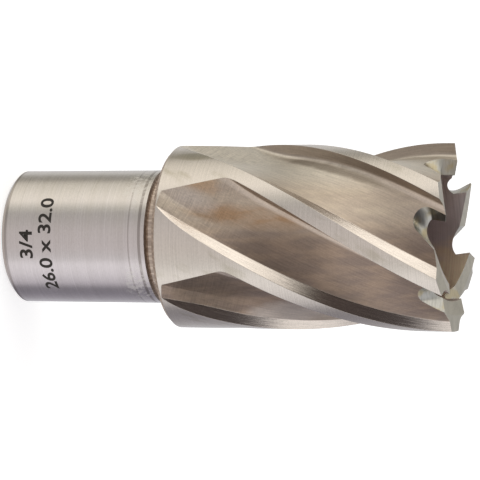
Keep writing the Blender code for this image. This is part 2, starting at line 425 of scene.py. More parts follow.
def inner_section():
    """The gullet's section at the bore's wall."""
    return gullet_section(
        BORE_RADIUS,
        INNER_GULLET_CENTER,
        INNER_GULLET_DEPTH,
        INNER_GULLET_RADIUS,
        math.pi + INNER_GULLET_CORNER,
        INNER_FACE_SLOPE,
    )


# %% The gullet's solid
def loft(name, rows):
    """A closed object through rows of points. Its sides are triangles, and each end one face."""
    shape = bmesh.new()
    rings = [[shape.verts.new(point) for point in row] for row in rows]
    for ring, following in zip(rings, rings[1:]):
        for i in range(len(ring)):
            j = (i + 1) % len(ring)
            shape.faces.new((ring[i], ring[j], following[j], following[i]))
    bmesh.ops.triangulate(shape, faces=shape.faces)
    for ring in (rings[0], rings[-1]):
        shape.faces.new(ring)
    bmesh.ops.recalc_face_normals(shape, faces=shape.faces)
    return object_from(shape, name)


wall = RIDGE_RADIUS - BORE_RADIUS
outside = -OVERSHOOT / 2 / wall
inside = (RIDGE_RADIUS - BORE_RADIUS * math.cos(GULLET_SPAN)) / wall
shares = [outside, *(i / WALL_STEPS for i in range(WALL_STEPS + 1)), inside]
section_pairs = list(zip(outer_section(), inner_section()))
rows = [[first.lerp(second, share) for first, second in section_pairs] for share in shares]
gullet = loft("gullet", rows)
print("Gullet:", len(rows), "rows of", len(rows[0]), "points")

# %% [markdown]
# ## Flats and crown
#
# Two flats on the shank take the drill's clamping screws. Each is milled by a plain block that
# stands on the mount's point. Over the teeth a turned ring is cut away. Its lower side is a
# shallow roof, so each tooth is left with a ridge and a bevel on both sides of it.

# %% The flats' blocks
def flat_blocks():
    """A block over each clamping flat, on the shank's side that its mount names."""
    shape = bmesh.new()
    for center in FLAT_CENTERS:
        outward = Vector((center.x, center.y, 0)).normalized()
        turn = Matrix.Rotation(math.atan2(outward.y, outward.x), 4, "Z")
        size = Matrix.Diagonal((OVERSHOOT, SHANK_RADIUS, FLAT_LENGTH, 1))
        place = Matrix.Translation(center + outward * OVERSHOOT / 2)
        bmesh.ops.create_cube(shape, size=1, matrix=place @ turn @ size)
    return object_from(shape, "flat_blocks")


flats = flat_blocks()
print("Flats:", len(FLAT_CENTERS), "blocks,", FLAT_LENGTH / MM, "mm long")

# %% The crown's ring
crown_inner = BORE_RADIUS - OVERSHOOT
crown_outer = HEAD_RADIUS + OVERSHOOT
crown_top = TIP_HEIGHT + OVERSHOOT
crown_outline = [
    (crown_outer, crown_top),
    (crown_outer, TIP_HEIGHT - (crown_outer - RIDGE_RADIUS) * math.tan(OUTER_BEVEL)),
    (RIDGE_RADIUS, TIP_HEIGHT),
    (crown_inner, TIP_HEIGHT - (RIDGE_RADIUS - crown_inner) * math.tan(INNER_BEVEL)),
    (crown_inner, crown_top),
]
crown = turned("crown_ring", crown_outline)
print("Crown ring:", round((crown_outer - crown_inner) / MM, 1), "mm wide")

# %% [markdown]
# ## Grinding with Geometry Nodes
#
# One flute could be lofted and copied by hand. Here its shape follows a rule, so a node tree
# holds it. The section is swept up the axis, each point is moved out where the grinding wheel
# lifts off, and everything is turned by the helix. Six turned copies are then cut from the
# blank. Each ground surface gets a number, its finish, which later picks its material.

# %% Helpers of the grinding tree
FINISHES = ("shank", "undercut", "land", "bore", "flat", "flute", "gullet", "crown")


class Place:
    """Where each point of a geometry lies, also as a radius and an angle about the axis."""

    def __init__(self, tree):
        position = tree.node("GeometryNodeInputPosition")
        self.x = tree.node("ShaderNodeSeparateXYZ", None, {0: position})
        self.y = self.x.out("Y")
        self.height = self.x.out("Z")
        self.radius = (self.x * self.x + self.y * self.y) ** 0.5
        self.angle = self.y.math("ARCTAN2", self.x)


def as_object(tree, wire):
    """The evaluated geometry of an object input, in this object's space."""
    settings = {"transform_space": "RELATIVE"}
    return tree.node("GeometryNodeObjectInfo", settings, {"Object": wire}, output="Geometry")


def numbered(tree, geometry, number):
    """Writes a finish's number on each face."""
    settings = {"data_type": "INT", "domain": "FACE"}
    values = {"Geometry": geometry, "Name": "finish", "Value": number}
    return tree.node("GeometryNodeStoreNamedAttribute", settings, values)


def round_axis(tree, geometry, count):
    """Evenly turned copies about the axis, made real."""
    points = tree.node("GeometryNodePoints", None, {"Count": count})
    angle = tree.node("GeometryNodeInputIndex") * (2 * math.pi / count)
    values = {"Points": points, "Instance": geometry, "Rotation": tree.vector(z=angle)}
    copies = tree.node("GeometryNodeInstanceOnPoints", None, values)
    return tree.node("GeometryNodeRealizeInstances", None, {"Geometry": copies})


def minus(tree, body, cutter):
    """What is left of the body when the cutter is taken away."""
    settings = {"operation": "DIFFERENCE", "solver": "EXACT"}
    return tree.node("GeometryNodeMeshBoolean", settings, {"Mesh 1": body, "Mesh 2": cutter})


# %% [markdown]
# ### One flute's cutter
#
# A round wheel doesn't stop dead at the end of a flute. It lifts out, and leaves a floor that
# curves up to the head's surface along a line. On this cutter there are two such lines, so the
# floor ends at the higher one. A wheel of radius r that has gone x past the end of its full
# depth has risen by x squared over 2r, and each point moves out by that much.

# %% The flute's cutter
def swept_section(tree, given):
    """The flute's section, swept straight up the axis."""
    section = as_object(tree, given.out("Flute Section"))
    outline = tree.node("GeometryNodeMeshToCurve", None, {0: section})
    ends = {
        "Start": (0, 0, HEAD_BACK - OVERSHOOT / 2),
        "End": (0, 0, TIP_HEIGHT + OVERSHOOT),
    }
    line = tree.node("GeometryNodeCurvePrimitiveLine", None, ends)
    values = {"Curve": line, "Count": given.out("Stations")}
    line = tree.node("GeometryNodeResampleCurve", None, values)
    values = {"Curve": line, "Profile Curve": outline, "Fill Caps": True}
    return tree.node("GeometryNodeCurveToMesh", None, values)


def exit_height(given, angle):
    """How high the floor meets the head's surface, on the higher of the two run-out lines."""
    start = given.out("Run-out Start")
    end = given.out("Run-out End")
    turn_per_height = given.out("Run-out Turn per Height")
    first_line = start - angle / turn_per_height
    corner = (start - end) * turn_per_height
    second_line = end - (angle - corner) * given.out("Run-out End Drop per Turn")
    return HEAD_BACK + first_line.math("MAXIMUM", second_line)


def flute_cutter(tree, given):
    """The solid that grinds one flute: lifted out at its lower end, then wound up the helix."""
    prism = swept_section(tree, given)
    at = Place(tree)
    wheel = given.out("Wheel Radius")
    floor_radius = floor_distance / (at.angle - floor_turn).math("COSINE")
    depth = (HEAD_RADIUS - floor_radius).math("MAXIMUM", 0)
    print_length = (2 * wheel * depth) ** 0.5
    below_full = (exit_height(given, at.angle) + print_length - at.height).math("MAXIMUM", 0)
    stretch = 1 + below_full ** 2 / (2 * wheel) / at.radius
    lifted = tree.vector(at.x * stretch, at.y * stretch, at.height)
    angle = (at.height - TIP_HEIGHT) * given.out("Twist") - given.out("Edge Lag")
    values = {"Vector": lifted, "Angle": angle}
    wound = tree.node("ShaderNodeVectorRotate", {"rotation_type": "Z_AXIS"}, values)
    return tree.node("GeometryNodeSetPosition", None, {"Geometry": prism, "Position": wound})


# %% [markdown]
# ### The crown's cutter and the blank's finishes
#
# Behind its tip each tooth falls away, or it would rub. The ring's lower side gets that fall as
# a saw-tooth wave round the axis. The wave jumps a little ahead of each tip, over the gullet,
# where no metal is left. The blank's own faces get their finish by where they lie.

# %% The crown's cutter
JUMP_AHEAD = math.radians(3.5)


def crown_cutter(tree, given):
    """The ring over the teeth, which falls away behind each tip."""
    ring = as_object(tree, given.out("Crown Ring"))
    at = Place(tree)
    behind = (JUMP_AHEAD - at.angle).math("FLOORED_MODULO", PITCH) - JUMP_AHEAD
    fall = behind * (given.out("Relief Slope") * RIDGE_RADIUS)
    lower_side = at.height.math("LESS_THAN", TIP_HEIGHT + OVERSHOOT / 2)
    offset = tree.vector(z=-fall * lower_side)
    return tree.node("GeometryNodeSetPosition", None, {"Geometry": ring, "Offset": offset})


# %% The blank's finishes
SEAM = 0.1 * MM


def blank_number(tree):
    """The finish of a face of the blank, by where the middle of the face is."""
    at = Place(tree)
    hole = at.radius.math("LESS_THAN", PILOT_HOLE_RADIUS + PILOT_HOLE_CHAMFER)
    near_bore = at.radius.math("LESS_THAN", BORE_RADIUS + SEAM)
    bore = near_bore * at.height.math("GREATER_THAN", BORE_FLOOR - SEAM)
    inside = hole.math("MAXIMUM", bore)
    past_shank = at.height.math("GREATER_THAN", undercut_start)
    on_head = at.height.math("GREATER_THAN", HEAD_BACK + HEAD_BACK_CHAMFER)
    return (past_shank + on_head) * (1 - inside) + FINISHES.index("bore") * inside


# %% [markdown]
# ### The whole tree
#
# The tree's inputs are named, so the cutter can be changed in the modifier's panel without
# opening the tree. Flats and gullets are cut first, then the flutes, and the crown last. The
# copies of a cutter go into one Boolean, because every Boolean more takes time and risks slivers.

# %% Inputs of the tree
FLUTE_STATIONS = 160
turn_per_height = (math.tan(RUNOUT_LEAN) + math.tan(HELIX_ANGLE)) / HEAD_RADIUS
drop_per_turn = HEAD_RADIUS * math.tan(RUNOUT_END_LEAN)

GRINDING = {
    "Flats": ("NodeSocketObject", flats),
    "Flute Section": ("NodeSocketObject", flute_section),
    "Gullet": ("NodeSocketObject", gullet),
    "Crown Ring": ("NodeSocketObject", crown),
    "Teeth": ("NodeSocketInt", TEETH),
    "Stations": ("NodeSocketInt", FLUTE_STATIONS),
    "Twist": ("NodeSocketFloat", TWIST),
    "Edge Lag": ("NodeSocketFloat", OUTER_EDGE_LAG),
    "Run-out Start": ("NodeSocketFloat", RUNOUT_START),
    "Run-out End": ("NodeSocketFloat", RUNOUT_END),
    "Run-out Turn per Height": ("NodeSocketFloat", turn_per_height),
    "Run-out End Drop per Turn": ("NodeSocketFloat", drop_per_turn),
    "Wheel Radius": ("NodeSocketFloat", WHEEL_RADIUS),
    "Relief Slope": ("NodeSocketFloat", math.tan(TOOTH_RELIEF)),
}


# %% The tree
def with_materials(tree, body, materials):
    """Gives each face the material of its finish."""
    settings = {"data_type": "INT"}
    number = tree.node("GeometryNodeInputNamedAttribute", settings, {"Name": "finish"})
    for index, finish in enumerate(FINISHES):
        settings = {"data_type": "INT", "operation": "EQUAL"}
        chosen = tree.node("FunctionNodeCompare", settings, {"A_INT": number, "B_INT": index})
        values = {"Geometry": body, "Selection": chosen, "Material": materials[finish]}
        body = tree.node("GeometryNodeSetMaterial", None, values)
    return body


def grinding_group(materials):
    """The node group that grinds the flutes and the teeth into the blank."""
    group = bpy.data.node_groups.new("grinding", "GeometryNodeTree")
    group.interface.new_socket("Geometry", in_out="INPUT", socket_type="NodeSocketGeometry")
    group.interface.new_socket("Geometry", in_out="OUTPUT", socket_type="NodeSocketGeometry")
    for name, (kind, value) in GRINDING.items():
        group.interface.new_socket(name, in_out="INPUT", socket_type=kind)
    tree = Tree(group)
    given = tree.node("NodeGroupInput")
    teeth = given.out("Teeth")
    blocks = numbered(tree, as_object(tree, given.out("Flats")), FINISHES.index("flat"))
    pocket = numbered(tree, as_object(tree, given.out("Gullet")), FINISHES.index("gullet"))
    groove = numbered(tree, flute_cutter(tree, given), FINISHES.index("flute"))
    roof = numbered(tree, crown_cutter(tree, given), FINISHES.index("crown"))
    body = numbered(tree, given, blank_number(tree))
    body = minus(tree, body, blocks)
    body = minus(tree, body, round_axis(tree, pocket, teeth))
    body = minus(tree, body, round_axis(tree, groove, teeth))
    body = minus(tree, body, roof)
    body = tree.node("GeometryNodeRealizeInstances", None, {"Geometry": body})
    body = with_materials(tree, body, materials)
    tree.node("NodeGroupOutput", None, {"Geometry": body})
    return group


# %% [markdown]
# ## Finishes
#
# The whole cutter is one steel, and each tool that shaped it left its own lines and tint. On
# the shank and the lands they run round the axis. In the flutes they run along the helix. A
# pattern that follows the helix needs coordinates that are unwound: each point is turned back
# by the helix, so that a flute becomes a straight groove. Heat tints and stains are patches at
# a place on the cutter, given by an angle, a height and a size, with a ragged rim.

# %% Coordinates on the cutter
class Spot:
    """Where a shaded point lies on the cutter, in millimetres and radians."""

    def __init__(self, tree):
        here = tree.node("ShaderNodeTexCoord", output="Object")
        self.point = tree.scaled(here, 1 / MM)
        x = tree.node("ShaderNodeSeparateXYZ", None, {0: self.point})
        y = x.out("Y")
        self.radius = (x * x + y * y) ** 0.5
        self.angle = y.math("ARCTAN2", x)
        self.height = x.out("Z")
        self.ringed = tree.vector(x, y, self.height + self.radius)
        self.uneven = tree.noise(self.point, (1.5, 1.5, 3), 3) - 0.5
        self.wind = (self.height - TIP_HEIGHT / MM) * (TWIST * MM)
        values = {"Vector": self.point, "Angle": -self.wind}
        settings = {"rotation_type": "Z_AXIS"}
        self.unwound = tree.node("ShaderNodeVectorRotate", settings, values)
        past_edge = self.angle - self.wind + OUTER_EDGE_LAG
        half_land = LAND_WIDTH / HEAD_RADIUS / 2
        self.turn = (past_edge + half_land).math("FLOORED_MODULO", PITCH) - half_land

    def facing(self, angle):
        """1 on the side of the cutter at this angle in degrees, -1 on the far side."""
        return (self.angle - math.radians(angle)).math("COSINE")

    def ring(self, height, width):
        """A soft line round the axis at this height, this wide."""
        return 1 - (self.height - height).math("ABSOLUTE").between(width / 4, width / 2)

    def near(self, angle, height, across, along, wound=0):
        """A ragged patch of this half size. wound is 0 along the axis and 1 along the helix."""
        middle = math.radians(angle) - wound * (height - TIP_HEIGHT / MM) * TWIST * MM
        aside = (self.angle - self.wind * wound - middle).math("COSINE").math("ARCCOSINE")
        aside = aside * self.radius / across
        ahead = (self.height - height) / along
        return 1 - (aside * aside + ahead * ahead + self.uneven).between(0, 1)


# %% [markdown]
# ### Steel
#
# Every finish is the same metal: fully metallic, with a colour, a roughness and a fine relief
# that change over the surface. Ground edges are never quite sharp, so a Bevel node rounds them
# by a tenth of a millimetre for the light alone. Lines that run round the axis also stretch
# the highlights, which is what Anisotropic is for.

# %% Steel
EDGE_ROUNDING = 0.1 * MM


def steel(name, look, anisotropy=0.0, edges=True):
    """A steel finish. look gives its colour, its roughness and its height in millimetres."""
    material = bpy.data.materials.new(name)
    material.use_nodes = True
    shader = material.node_tree.nodes["Principled BSDF"]
    shader.inputs["Metallic"].default_value = 1
    shader.inputs["Anisotropic"].default_value = anisotropy
    tree = Tree(material.node_tree)
    color, roughness, height = look(tree, Spot(tree))
    values = {"Height": height, "Distance": MM}
    if edges:
        values["Normal"] = tree.node("ShaderNodeBevel", {"samples": 6}, {"Radius": EDGE_ROUNDING})
    bump = tree.node("ShaderNodeBump", None, values)
    for socket, wire in (("Base Color", color), ("Roughness", roughness), ("Normal", bump)):
        tree.links.new(wire.socket, shader.inputs[socket])
    return material


# %% [markdown]
# ### Shank and flats
#
# The shank is ground round between centres, so its lines are rings. Noise that is long across
# the axis and short along it makes rings that come and go, and a broader noise the faint bands
# under them. One side is a little cooler in tone. Two turned lines show by the undercut, with
# bright scuffs from clamping. The flats were milled, so their strokes are straight.

# %% Shank
def shank_look(tree, at):
    rings = tree.noise(at.ringed, (14, 14, 0.09), 4)
    bands = tree.noise(at.ringed, (60, 60, 1.6), 2)
    grain = tree.noise(at.point, (0.4, 0.4, 0.25), 3)
    tone = 0.64 + 0.3 * rings + 0.22 * bands + 0.16 * grain
    clean = tree.mix(bands, (0.71, 0.67, 0.61, 1), (0.67, 0.64, 0.63, 1))
    clean = tree.mix(0.7 * at.facing(-50).between(0.2, 0.95), clean, (0.68, 0.635, 0.675, 1))
    clean = tree.scaled(clean, tone)
    lines = at.ring(20.9, 0.55) * 0.6 + at.ring(19.3, 0.3) * 0.35 + at.ring(0.75, 0.5) * 0.5
    color = tree.mix(lines, clean, (0.20, 0.17, 0.15, 1))
    spots = tree.noise(at.point, (0.5, 0.5, 0.7), 3).between(0.42, 0.62)
    scuff = at.near(-154, 19.7, 5, 2.6).math("MAXIMUM", at.near(-58, 20, 5, 2.8)) * spots
    color = tree.mix(0.6 * scuff, color, (0.86, 0.84, 0.80, 1))
    return color, 0.09 + 0.1 * rings + 0.06 * grain + 0.2 * scuff, 0.003 * rings + 0.002 * grain


# %% Flats
def flat_look(tree, at):
    strokes = tree.noise(at.point, (20, 20, 0.16), 4)
    color = tree.scaled((0.66, 0.62, 0.57), 0.7 + 0.5 * strokes)
    return color, 0.24 + 0.14 * strokes, 0.005 * strokes


# %% [markdown]
# ### Undercut
#
# The narrow undercut and the shoulder above it keep the colour of hardening, because no wheel
# reaches them. They are brown and dull, with short streaks along the axis, and a dark line is
# painted at the lower rim as shadow, where the step drops into the groove.

# %% Undercut
def undercut_look(tree, at):
    streaks = tree.noise(at.point, (0.35, 0.35, 2.5), 4)
    color = tree.mix(streaks.between(0.35, 0.7), (0.46, 0.38, 0.32, 1), (0.80, 0.69, 0.60, 1))
    # Painted shadow: a dark line at the lower rim, under the step into the groove.
    color = tree.mix(0.6 * at.ring(21.75, 0.5), color, (0.10, 0.08, 0.07, 1))
    return color, 0.38 + 0.2 * streaks, 0.01 * streaks


# %% [markdown]
# ### Lands
#
# The strips between the flutes were ground round too, like the shank, but with a finer wheel.
# Coolant left faint olive smudges on them, and a stronger stain in two places.

# %% Lands
def land_look(tree, at):
    rings = tree.noise(at.ringed, (9, 9, 0.1), 4)
    grain = tree.noise(at.point, (0.3, 0.3, 0.3), 2)
    smudge = tree.noise(at.unwound, (3, 3, 6), 3).between(0.54, 0.78) * 0.4
    stain = at.near(-164, 28, 1.3, 5).math("MAXIMUM", at.near(-127, 46.3, 1.2, 4, 1))
    clean = tree.scaled((0.75, 0.70, 0.645), 0.72 + 0.36 * rings + 0.16 * grain)
    color = tree.mix(smudge.math("MAXIMUM", stain * 0.5), clean, (0.30, 0.27, 0.15, 1))
    return color, 0.14 + 0.1 * rings + 0.04 * grain, 0.003 * rings


# %% [markdown]
# ### Flutes: heat tints
#
# Deep grinding heats the steel, and heat colours it. Most of a flute is tan, the flutes on one
# side are brown, and those on another side a paler tan. On top of that lie an orange and a
# straw patch near the run-out, places that stayed clean and places that were sooted.

# %% Heat tints
def heat_tint(tree, at):
    """The colour of a flute's floor before its lines are laid over it."""
    drift = tree.noise(at.point, (1.3, 1.3, 5), 3).between(0.35, 0.65)
    tan = tree.mix(drift, (0.63, 0.54, 0.44, 1), (0.57, 0.485, 0.405, 1))
    # Paler tan on one side of the cutter, and brown on another side.
    tan = tree.mix(at.facing(172).between(0.6, 0.95), tan, (0.74, 0.69, 0.61, 1))
    brown = tree.mix(drift, (0.42, 0.32, 0.25, 1), (0.325, 0.255, 0.215, 1))
    color = tree.mix(at.facing(-68).between(0.55, 0.9), tan, brown)
    orange = at.near(-119, 37, 1.9, 11, 0.22) * (0.45 + 0.55 * drift)
    color = tree.mix(0.85 * orange, color, (0.50, 0.32, 0.18, 1))
    straw = at.near(-145, 27.5, 2.4, 7, 0.55)
    color = tree.mix(0.8 * straw, color, (0.68, 0.47, 0.29, 1))
    clean = at.near(-131, 28.5, 1.9, 5, 0.4).math("MAXIMUM", at.near(-30, 41, 4, 8))
    color = tree.mix(0.7 * clean, color, (0.76, 0.69, 0.62, 1))
    soot = at.near(-62, 31, 7, 7).math("MAXIMUM", at.near(-92, 42, 5, 8) * 0.5)
    soot = soot.math("MAXIMUM", at.near(-163, 48, 1.1, 12, 1))
    return tree.mix(0.65 * soot, color, (0.175, 0.135, 0.10, 1))


# %% [markdown]
# ### Flutes: root, wall and strokes
#
# The angle behind a flute's edge tells wall, fillet, floor and heel apart. A painted highlight
# lies along the root's fillet on one side of the cutter, and the wall is painted dark as shade.
# The heel is ground smoother, and its pale colour is a painted highlight of the light it catches.
# Scratches follow the helix, and near the run-out the wheel left strokes across them.

# %% Root, wall and strokes
def painted_root_highlight_and_wall_shade(tree, at, color):
    """The colour with a painted highlight along the root and painted shade on the wall."""
    # Painted highlight: a pale strip along the root's fillet, on one side of the cutter.
    fillet = at.turn.between(0.004, 0.02) * (1 - at.turn.between(0.05, 0.09))
    fillet = fillet * at.facing(-70).between(0, 0.5)
    color = tree.mix(0.65 * fillet, color, (0.86, 0.76, 0.67, 1))
    # Painted shade: the leading wall is darkened.
    wall = 1 - at.turn.between(0.004, 0.015)
    return tree.mix(0.6 * wall, color, (0.25, 0.20, 0.165, 1))


def cross_strokes(tree, at):
    """Strokes about 0 that lean across the flute, and fade out up the head."""
    lean = {0: at.point, 1: tree.vector(z=5.1 * at.angle)}
    leaning = tree.node("ShaderNodeVectorMath", {"operation": "ADD"}, lean)
    strokes = tree.noise(leaning, (3, 3, 0.16), 4) - 0.5
    return strokes * (1 - at.height.between(30, 40))


def flute_look(tree, at):
    scratches = tree.noise(at.unwound, (0.18, 0.18, 2.6), 5)
    grain = tree.noise(at.point, (0.25, 0.25, 0.25), 3)
    heel = at.turn.between(heel_start - 0.01, heel_start + 0.01)
    strokes = cross_strokes(tree, at) * (1 - heel)
    color = painted_root_highlight_and_wall_shade(tree, at, heat_tint(tree, at))
    # Painted highlight: the heel's pale colour stands for the light it catches; its lower roughness
    # is real.
    color = tree.mix(heel, color, (0.76, 0.68, 0.60, 1))
    color = tree.scaled(color, 0.56 + 0.58 * scratches + 0.3 * grain + 0.7 * strokes)
    relief = 0.012 * scratches + 0.006 * grain + 0.01 * strokes
    return color, 0.36 + 0.14 * scratches - 0.22 * heel, relief


# %% [markdown]
# ### Gullets, crown and bore
#
# The gullets and the bevels of the teeth are ground last, so they are greyer than the flutes,
# with a straw haze, and a gold and a brown spot by one tip. The bore is drilled and reamed. Its
# lines are rings, and one side of it has a warm tint.

# %% Gullets
def gullet_look(tree, at):
    strokes = tree.noise(at.unwound, (1.2, 4, 0.2), 4)
    haze = tree.noise(at.point, (2, 2, 2), 3)
    clean = tree.mix(haze.between(0.45, 0.65), (0.47, 0.46, 0.42, 1), (0.46, 0.40, 0.27, 1))
    clean = tree.mix(0.9 * at.near(-51, 63.9, 1.6, 1.8), clean, (0.95, 0.78, 0.42, 1))
    clean = tree.mix(0.8 * at.near(-65, 64, 1.2, 1.2), clean, (0.25, 0.19, 0.12, 1))
    return tree.scaled(clean, 0.65 + 0.7 * strokes), 0.26 + 0.16 * strokes, 0.006 * strokes


# %% Crown and bore
def crown_look(tree, at):
    strokes = tree.noise(at.point, (3, 3, 0.3), 4)
    grain = tree.noise(at.unwound, (0.3, 0.3, 0.3), 2)
    color = tree.scaled((0.50, 0.47, 0.40), 0.6 + 0.5 * strokes + 0.3 * grain)
    return color, 0.3 + 0.14 * grain, 0.006 * grain


def bore_look(tree, at):
    rings = tree.noise(at.ringed, (9, 9, 0.2), 4)
    warm = at.near(37, 62, 7, 7)
    tint = tree.mix(warm, (0.74, 0.665, 0.655, 1), (1.0, 0.82, 0.59, 1))
    return tree.scaled(tint, 0.75 + 0.5 * rings), 0.3 + 0.14 * rings, 0.006 * rings


# %% The materials, one for each finish
materials = {
    "shank": steel("ground_shank", shank_look, 0.6),
    "undercut": steel("hardened_undercut", undercut_look),
    "land": steel("ground_lands", land_look, 0.6),
    "bore": steel("reamed_bore", bore_look, 0.4, edges=False),
    "flat": steel("milled_flats", flat_look, 0.3),
    "flute": steel("ground_flutes", flute_look),
    "gullet": steel("ground_gullets", gullet_look),
    "crown": steel("ground_crown", crown_look),
}
print("Finishes:", ", ".join(materials))

# %% [markdown]
# ## The ground cutter
#
# The blank gets the tree as a modifier, and its result becomes a plain mesh of its own. That
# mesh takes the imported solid's place: it is the same form with finer facets. A Boolean leaves
# slivers where two cuts nearly meet, and points that bend a line by a hundredth of a millimetre.
# Triangles made on such points lie back to back, so both are dissolved. Edges over a small angle
# stay sharp and all the others are shaded smooth. The helpers are deleted.

# %% Grinding the blank
SHARP_ANGLE = math.radians(14)
SLIVER = 0.001 * MM


def cleaned(mesh):
    """Dissolves slivers in the mesh, and points where only two edges meet."""
    shape = bmesh.new()
    shape.from_mesh(mesh)
    bmesh.ops.dissolve_degenerate(shape, dist=SLIVER, edges=shape.edges)
    bends = [vertex for vertex in shape.verts if len(vertex.link_edges) == 2]
    bmesh.ops.dissolve_verts(shape, verts=bends)
    shape.to_mesh(mesh)
    shape.free()


def ground(blank, group):
    """The blank's evaluated mesh as a new object, with the group as its grinding modifier."""
    grind = blank.modifiers.new("grind", "NODES")
    grind.node_group = group
    for item in group.interface.items_tree:
        if item.in_out == "INPUT" and item.name in GRINDING:
            grind[item.identifier] = GRINDING[item.name][1]
    bpy.context.view_layer.update()
    seen = blank.evaluated_get(bpy.context.evaluated_depsgraph_get())
    mesh = bpy.data.meshes.new_from_object(seen)
    mesh.name = "ground_cutter"
    made = bpy.data.objects.new("ground_cutter", mesh)
    bpy.context.scene.collection.objects.link(made)
    return made


def measured(mesh):
    """The mesh's triangles, its signed volume in cubic millimetres and its open edges."""
    shape = bmesh.new()
    shape.from_mesh(mesh)
    triangles = sum(len(face.verts) - 2 for face in shape.faces)
    volume = shape.calc_volume(signed=True) / MM ** 3
    open_edges = sum(not edge.is_manifold for edge in shape.edges)
    shape.free()
    return triangles, volume, open_edges


blank.data.materials.append(materials["shank"])
cutter = ground(blank, grinding_group(materials))
for helper in (blank, flats, flute_section, gullet, crown):
    bpy.data.objects.remove(helper)
cleaned(cutter.data)
cutter.data.shade_smooth()
cutter.data.set_sharp_from_angle(angle=SHARP_ANGLE)
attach(cutter, "root")
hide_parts("annular_cutter")
print("Cutter: %d triangles, %.1f mm3, %d open edges" % measured(cutter.data))

# %% [markdown]
# ## Size marking
#
# Such a cutter carries its size on the shank, put on by a laser that darkens the steel: here
# the shank in inches, and the cutting diameter and depth in millimetres. The numbers start as
# a text object. Made a mesh, they are cut across every quarter millimetre, so that they can
# bend, and are wrapped round the shank. A painted texture would need an image, and a mesh
# keeps its crisp edges. The wrap turns nothing inside out, so the text's own normals stay.

# %% Numbers as a flat plate
CAMERA_TURN = -14.5
camera_side = math.radians(CAMERA_TURN - 90)
MARK_THICKNESS = 0.02 * MM
MARK_STEP = 0.25 * MM
MARK_HEIGHT = 2 * MM
LETTER_HALF_THICKNESS = 0.5
LETTER_WEIGHT = 0.022


def marking_look(tree, at):
    burn = tree.noise(at.point, (0.15, 0.15, 0.15), 2)
    return tree.scaled((0.07, 0.065, 0.06), 0.7 + 0.6 * burn), 0.45 + 0.2 * burn, 0.004 * burn


def number_plate(text, length):
    """The text as a thin plate in the XY plane, centred and this long."""
    curve = bpy.data.curves.new("marking", "FONT")
    curve.body = text
    curve.extrude = LETTER_HALF_THICKNESS
    curve.offset = LETTER_WEIGHT
    letters = bpy.data.objects.new("marking", curve)
    bpy.context.scene.collection.objects.link(letters)
    bpy.context.view_layer.update()
    seen = letters.evaluated_get(bpy.context.evaluated_depsgraph_get())
    plate = bmesh.new()
    plate.from_mesh(bpy.data.meshes.new_from_object(seen))
    bpy.data.objects.remove(letters)
    xs = [vertex.co.x for vertex in plate.verts]
    ys = [vertex.co.y for vertex in plate.verts]
    left, right, bottom, top = min(xs), max(xs), min(ys), max(ys)
    for vertex in plate.verts:
        x, y, z = vertex.co
        across = (x - (left + right) / 2) / (right - left) * length
        up = (y - (bottom + top) / 2) / (top - bottom) * MARK_HEIGHT
        vertex.co = (across, up, z * MARK_THICKNESS)
    bmesh.ops.remove_doubles(plate, verts=plate.verts, dist=SLIVER)
    return plate


# %% Numbers round the shank
def wrapped(shape, text, length, middle_angle, middle_height):
    """Adds the text to the shape, wrapped round the shank and this long."""
    plate = number_plate(text, length)
    steps = int(length / MARK_STEP)
    for i in range(1, steps):
        cut = (-length / 2 + i * length / steps, 0, 0)
        everything = [*plate.verts, *plate.edges, *plate.faces]
        bmesh.ops.bisect_plane(plate, geom=everything, plane_co=cut, plane_no=(1, 0, 0))
    bmesh.ops.dissolve_degenerate(plate, dist=SLIVER, edges=plate.edges)
    for vertex in plate.verts:
        across, up, out = vertex.co
        spot = polar(SHANK_RADIUS + out, middle_angle - across / SHANK_RADIUS)
        vertex.co = (spot.x, spot.y, middle_height - up)
    mesh = bpy.data.meshes.new("line")
    plate.to_mesh(mesh)
    plate.free()
    shape.from_mesh(mesh)
    bpy.data.meshes.remove(mesh)


shape = bmesh.new()
wrapped(shape, "3/4", 4.1 * MM, camera_side + math.radians(7), 3.9 * MM)
wrapped(shape, "26.0 x 32.0", 14.3 * MM, camera_side + math.radians(8.6), 6.7 * MM)
marking = object_from(shape, "size_marking")
marking.data.materials.append(steel("laser_marking", marking_look, edges=False))
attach(marking, "root")
print("Marking: %d triangles, %.2f mm3, %d open edges" % measured(marking.data))

# %% [markdown]
# ## Floor
#
# The cutter stands on a plain pale floor that keeps its shadow. The camera sees it a little
# brighter than it is lit, through Is Camera Ray, so that it comes out white with no more light
# on the steel. It is left out of reflections, and seen from below it is clear, so that the
# shank's end can be looked at. It lies a hair under the cutter, because two faces in the same
# place flicker.

# %% Floor
FLOOR_HALF_SIZE = 3
FLOOR_GAP = 0.05 * MM
FLOOR_GLOW = 0.6

shape = bmesh.new()
bmesh.ops.create_grid(shape, x_segments=1, y_segments=1, size=FLOOR_HALF_SIZE)
bmesh.ops.translate(shape, verts=shape.verts, vec=(0, 0, -FLOOR_GAP))
floor = object_from(shape, "floor")
floor.visible_glossy = False

